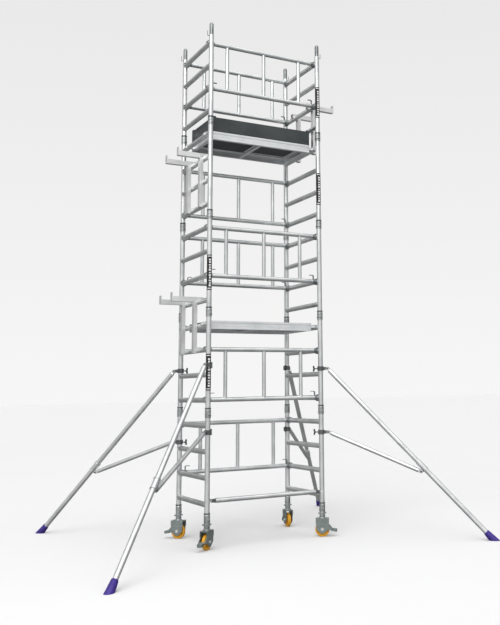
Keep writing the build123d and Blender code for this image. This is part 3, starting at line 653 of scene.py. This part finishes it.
def make_fork_fittings(corner):
    """Washers and hex bolts on the axle, and rivets through the swivel plate."""
    place, axis = hinge(f"wheel_spin_{corner}")
    swivel, top = castor_top(corner)
    shape = Shape()
    for side in (-1, 1):
        outer = axis * side
        shape.cap(0.0165, 0.0022, facing(outer, place + outer * 0.0381), 32)
        shape.cap(0.0145, 0.0068, facing(outer, place + outer * 0.0401), 6, 0.15, 0.96)
    forward = axis.cross(UP)
    for ahead in (-0.050, 0.052):
        for aside in (-0.030, 0.030):
            spot = Vector((swivel.x, swivel.y, top)) + forward * ahead + axis * aside
            shape.cap(0.0060, 0.0030, facing(UP, spot), 20)
    piece(f"fork_{corner}_bolts", shape, bolt_metal, f"fork_{corner}")


def make_fork_lips(corner):
    """Rolled lips on the skirts' lower edges and along the edges of the plate."""
    axis = hinge(f"wheel_spin_{corner}")[1]
    swivel, top = castor_top(corner)
    at = level_frame(axis.cross(UP), axis, (swivel.x, swivel.y, top))
    shape = Shape()
    for side in (-1, 1):
        lip = at @ Matrix.Translation((0.0, side * 0.0402, -0.0550))
        shape.slab((0.1340, 0.0036, 0.0040), lip, 0.0010)
        edge = at @ Matrix.Translation((0.0, side * 0.0395, -0.0010))
        shape.slab((0.1370, 0.0030, 0.0030), edge, 0.0008)
    piece(f"fork_{corner}_lips", shape, lip_metal, f"fork_{corner}")


def make_pedal_ribs(corner):
    """Grip bars across the pedal's tread, which droops a little."""
    droop = Matrix.Rotation(math.radians(8.0), 4, "Y")
    place = hinge(f"brake_pedal_{corner}")[0]
    swivel = hinge(f"castor_swivel_{corner}")[0]
    away = Vector((place.x - swivel.x, place.y - swivel.y, 0.0)).normalized()
    tread = level_frame(away, UP.cross(away), place) @ droop
    shape = Shape()
    for k in range(5):
        width = 0.034 if k < 3 else 0.038
        bar = Matrix.Translation((0.022 + 0.0085 * k, 0.0, 0.0046))
        shape.slab((0.0034, width, 0.0024), tread @ bar, 0.0006)
    piece(f"pedal_{corner}_grip", shape, fork_metal, f"pedal_{corner}")


# ---- adjustable legs ----
def add_thread(shape, low, high, at):
    """A closed bar with a helical thread round it, between two heights."""
    sides = 32
    step = 0.0016
    rows = int((high - low) / step)
    verts = []
    for row in range(rows + 1):
        z = low + step * row
        for turn in range(sides):
            angle = 2.0 * math.pi * turn / sides
            phase = (z / THREAD_PITCH - turn / sides) % 1.0
            cut = THREAD_DEPTH * max(0.0, min(1.0, 4.0 * abs(phase - 0.5) - 0.5))
            radius = THREAD_RADIUS - cut
            verts.append((radius * math.cos(angle), radius * math.sin(angle), z))
    faces = []
    for row in range(rows):
        for turn in range(sides):
            other = (turn + 1) % sides
            here, above = row * sides, (row + 1) * sides
            faces.append((here + turn, here + other, above + other, above + turn))
    faces.append(tuple(reversed(range(sides))))
    faces.append(tuple(rows * sides + turn for turn in range(sides)))
    shape.add(verts, faces, at)


def make_leg_thread(corner):
    """The leg: a threaded bar under a guide ring, over a ringed head and its kingpin."""
    name = f"adjustable_leg_{corner}"
    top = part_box(name)[1].z
    plate = castor_top(corner)[1]
    at = Matrix.Translation((*stiles[corner], 0.0))
    shape = Shape()
    add_thread(shape, plate + LEG_HEAD_HEIGHT, top - 0.024, at)
    guide = [(0.0188, -0.022), (0.0210, -0.022), (0.0224, -0.020), (0.0224, -0.002),
             (0.0210, 0.0), (0.0160, 0.0), (0.0150, -0.002), (0.0150, -0.022)]
    shape.lathe([(radius, top + z) for radius, z in guide], at, 48)
    head = [(0.0030, 0.0003), (0.0340, 0.0003), (0.0366, 0.0020), (0.0370, 0.0060),
            (0.0352, 0.0075), (0.0352, 0.0090), (0.0340, 0.0115), (0.0260, 0.0150),
            (0.0030, 0.0150)]
    shape.lathe([(radius, plate + z) for radius, z in head], at, 56)
    kingpin = [(0.0010, -0.0143), (0.0128, -0.0143), (0.0140, -0.0132), (0.0140, -0.0086),
               (0.0079, -0.0084), (0.0079, 0.0020), (0.0010, 0.0020)]
    shape.lathe([(radius, plate + z) for radius, z in kingpin], at, 40)
    piece(f"leg_{corner}_screw", shape, zinc_steel, f"leg_{corner}", (name,))


# ---- stabilisers ----
def make_foot_ribs(corner):
    """Moulded rings round each rubber foot."""
    x, y = stiles[corner]
    ground, out = stabiliser_line(corner)
    upper = Vector((x, y, CLAMP_HEIGHTS[corner][0])) + out * CLAMP_PIVOT
    along = (upper - ground).normalized()
    shape = Shape()
    for reach in (0.056, 0.070, 0.084, 0.098):
        radius = FOOT_RADIUS - FOOT_TAPER * reach / FOOT_LENGTH
        ring = [(radius - 0.004, -0.0032), (radius + 0.0006, -0.0024), (radius + 0.0018, 0.0),
                (radius + 0.0006, 0.0024), (radius - 0.004, 0.0032)]
        shape.lathe(ring, facing(along, ground + along * reach), 44)
    piece(f"foot_{corner}_ribs", shape, foot_blue, f"stabiliser_{corner}")


def make_clamp_grips(corner):
    """Moulded sleeves on the ends of both T-handles."""
    half_gap = 0.010
    x, y = stiles[corner]
    out = stabiliser_line(corner)[1]
    shape = Shape()
    for z in CLAMP_HEIGHTS[corner]:
        place = Vector((x, y, z)) - out * HANDLE_REACH
        for way in (-UP, UP):
            shape.cap(0.0092, 0.0200, facing(way, place + way * half_gap), 20, 0.18, 0.92)
    piece(f"clamp_{corner}_grips", shape, grip_rubber, f"stabiliser_{corner}")


# ---- platforms ----
def make_platform_rivets():
    """Two rows of rivets at both ends of each side beam."""
    shape = Shape()
    for name in ("lower", "upper"):
        deck = deck_z(name)
        for side in (-1, 1):
            for end in (-1, 1):
                for step in range(3):
                    x = end * (PLATFORM_END - 0.016 - 0.022 * step)
                    for drop in (0.034, 0.062):
                        spot = (x, side * PLATFORM_HALF_WIDTH, deck - drop)
                        shape.cap(0.0045, 0.0022, facing((0.0, side, 0.0), spot), 18)
    piece("platform_rivets", shape, bolt_metal, "tower")


def make_beam_mouldings():
    """The extruded ribs on the outer face of each side beam, part sunk into it."""
    # drop below the deck, height and how proud: a shadow lip, a bead and a foot
    ribs = ((0.0235, 0.0030, 0.0022), (0.0500, 0.0045, 0.0014), (0.0815, 0.0060, 0.0044))
    sunk = 0.0012
    length = 2.0 * PLATFORM_END - 0.002
    shape = Shape()
    for name in ("lower", "upper"):
        deck = deck_z(name)
        for side in (-1, 1):
            for drop, height, proud in ribs:
                y = side * (PLATFORM_HALF_WIDTH + (proud - sunk) / 2.0)
                at = Matrix.Translation((0.0, y, deck - drop))
                shape.slab((length, proud + sunk, height), at, 0.0005)
    piece("beam_mouldings", shape, beam_metal, "tower")


def make_trapdoor_latches():
    """A sliding latch plate with a finger ring near each trapdoor's free edge."""
    inset = 0.050
    thickness = 0.004
    for name in ("lower", "upper"):
        x = hinge(f"trapdoor_{name}_hinge")[0].x
        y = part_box(f"trapdoor_{name}")[0].y + inset
        deck = deck_z(name)
        shape = Shape()
        plate = Matrix.Translation((x, y, deck + thickness / 2.0))
        shape.slab((0.120, 0.045, thickness), plate, 0.0012)
        ring = [(0.013, 0.0038), (0.013, 0.0064), (0.0175, 0.0064), (0.0180, 0.0038)]
        shape.lathe(ring, Matrix.Translation((x, y, deck)), 32)
        for along in (-0.048, 0.048):
            shape.cap(0.0050, 0.0024, facing(UP, (x + along, y, deck + 0.0038)), 18)
        piece(f"trapdoor_{name}_latch", shape, bolt_metal, f"trapdoor_{name}")


make_rung_welds()
make_guardrail_welds()
make_socket_sleeves()
make_spigot_skins()
make_brace_collars()
make_spring_clips()
make_labels()
for corner in CORNERS:
    make_wheel(corner)
    make_fork_fittings(corner)
    make_fork_lips(corner)
    make_pedal_ribs(corner)
    make_leg_thread(corner)
    make_foot_ribs(corner)
    make_clamp_grips(corner)
make_platform_rivets()
make_beam_mouldings()
make_trapdoor_latches()


# ---- studio ----
def make_floor():
    """Seamless pale paper, wide enough to meet the backdrop."""
    bpy.ops.mesh.primitive_plane_add(size=240.0, location=(0.0, 0.0, cad_box[0].z))
    floor = bpy.context.active_object
    floor.name = "studio_floor"
    graph = Graph("floor_paper")
    tone = graph.spread(graph.noise(0.6, 2.0), 0.3, 0.7, 0.0, 1.0)
    paper = graph.blend(tone, (0.835, 0.835, 0.835), (0.845, 0.845, 0.845))
    graph.link(paper, graph.shader.inputs["Base Color"])
    graph.shader.inputs["Roughness"].default_value = 0.9
    graph.shader.inputs["Specular IOR Level"].default_value = 0.1
    floor.data.materials.append(graph.material)
    floor.visible_glossy = False
    floor.visible_diffuse = False


def ramp(tree, value, low, high, out_low, out_high):
    """A world node that maps one range to another, held at both ends."""
    node = tree.nodes.new("ShaderNodeMapRange")
    for index, number in enumerate((low, high, out_low, out_high), start=1):
        node.inputs[index].default_value = number
    tree.links.new(value, node.inputs["Value"])
    return node.outputs["Result"]


def make_world():
    """A pale backdrop, darker higher up as painted shade; what the metal reflects is brighter to
    the front left and above.
    """
    world = bpy.data.worlds.new("studio")
    bpy.context.scene.world = world
    world.use_nodes = True
    tree = world.node_tree
    direction = tree.nodes.new("ShaderNodeTexCoord").outputs["Generated"]

    backdrop = tree.nodes["Background"]
    backdrop.inputs["Color"].default_value = (0.998, 1.0, 0.996, 1.0)
    parts = tree.nodes.new("ShaderNodeSeparateXYZ")
    tree.links.new(direction, parts.inputs["Vector"])
    # painted shade: the backdrop that the camera sees is darker higher up
    backdrop_painted_shade = ramp(tree, parts.outputs["Z"], 0.0, 0.50, 0.925, 0.80)
    tree.links.new(backdrop_painted_shade, backdrop.inputs["Strength"])

    around = tree.nodes.new("ShaderNodeBackground")
    aim = tree.nodes.new("ShaderNodeVectorMath")
    aim.operation = "DOT_PRODUCT"
    aim.inputs[1].default_value = Vector((-0.38, -0.48, 0.80)).normalized()
    tree.links.new(direction, aim.inputs[0])
    level = ramp(tree, aim.outputs["Value"], -0.35, 1.0, 0.28, 1.25)
    tree.links.new(level, around.inputs["Strength"])

    seen = tree.nodes.new("ShaderNodeLightPath").outputs["Is Camera Ray"]
    mix = tree.nodes.new("ShaderNodeMixShader")
    tree.links.new(seen, mix.inputs["Fac"])
    tree.links.new(around.outputs["Background"], mix.inputs[1])
    tree.links.new(backdrop.outputs["Background"], mix.inputs[2])
    tree.links.new(mix.outputs["Shader"], tree.nodes["World Output"].inputs["Surface"])


def hang_lamp(lamp, direction, place=(0.0, 0.0, 0.0)):
    """Puts a lamp in the scene, shining along a direction."""
    holder = bpy.data.objects.new(lamp.name, lamp)
    bpy.context.scene.collection.objects.link(holder)
    holder.location = place
    holder.rotation_mode = "QUATERNION"
    holder.rotation_quaternion = Vector(direction).to_track_quat("-Z", "Y")


def make_sun(name, direction, strength, angle):
    lamp = bpy.data.lights.new(name, "SUN")
    lamp.energy = strength
    lamp.angle = math.radians(angle)
    hang_lamp(lamp, direction)


def make_softbox():
    """A large panel high in front, so that the upper lifts are the brightest."""
    place = Vector((-3.4, -4.6, 6.6))
    target = Vector((0.0, 0.0, 3.9))
    lamp = bpy.data.lights.new("softbox", "AREA")
    lamp.shape = "DISK"
    lamp.size = 3.4
    lamp.energy = 75.0
    hang_lamp(lamp, target - place, place)


def make_camera():
    """Standing height in front of the tower, a little to the left, looking up."""
    place = (-3.7926, -8.3662, 1.4996)
    heading, tilt, roll = -30.95, 9.59, -1.02
    lens = bpy.data.cameras.new("camera")
    lens.lens = 48.53
    lens.sensor_width = 36.0
    lens.shift_x = -0.154
    lens.shift_y = -0.105
    lens.clip_end = 500.0
    camera = bpy.data.objects.new("camera", lens)
    bpy.context.scene.collection.objects.link(camera)
    turn = Matrix.Rotation(math.radians(heading), 4, "Z")
    turn @= Matrix.Rotation(math.radians(90.0 + tilt), 4, "X")
    turn @= Matrix.Rotation(math.radians(roll), 4, "Z")
    camera.matrix_world = Matrix.Translation(place) @ turn
    bpy.context.scene.camera = camera


make_floor()
make_world()
make_sun("key_light", (0.55, 0.55, -0.75), 0.90, 45.0)
make_sun("top_light", (-0.15, 0.20, -1.0), 0.55, 60.0)
make_softbox()
make_camera()
bpy.context.scene.view_settings.view_transform = "Standard"
